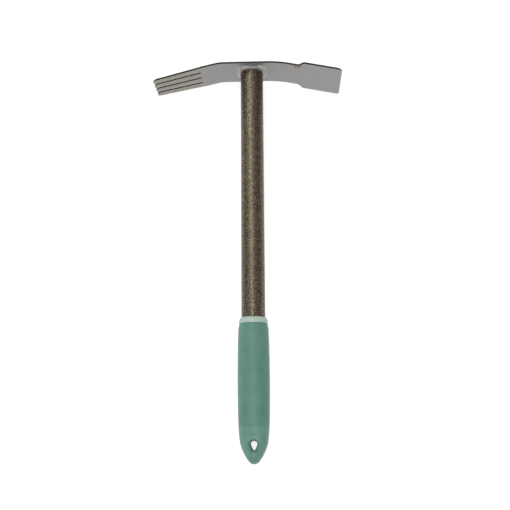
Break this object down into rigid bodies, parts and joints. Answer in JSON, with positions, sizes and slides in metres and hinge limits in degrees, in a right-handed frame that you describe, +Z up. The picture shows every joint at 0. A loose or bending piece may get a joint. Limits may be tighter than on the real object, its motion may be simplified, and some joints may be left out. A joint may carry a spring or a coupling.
{
  "type": "hand hoe and cultivator",
  "caption": "Garden hand tool: bent sheet-steel head with a hoe blade one side and a tined cultivator the other, welded on a steel tube with a moulded grip.",
  "frame": {"origin": "where the shaft's axis meets the crown, the outer face of the head", "axes": "+Y along the shaft from the grip to the head and out of the crown; +X towards the hoe blade; +Z up, across the head, as the tool lies flat"},
  "size_m": [0.199, 0.4116, 0.06],
  "materials": {
    "head_steel": "satin grey paint",
    "weld_steel": "satin grey paint over a rippled weld",
    "tube_steel": "hammered bronze paint",
    "core_plastic": "pale mint moulded polypropylene",
    "cover_rubber": "matte green soft moulded rubber"
  },
  "bodies": {
    "root": {"head_plate": "head_steel", "head_weld": "weld_steel", "shaft_tube": "tube_steel", "grip_core": "core_plastic", "grip_cover": "cover_rubber"}
  },
  "joints": []
}
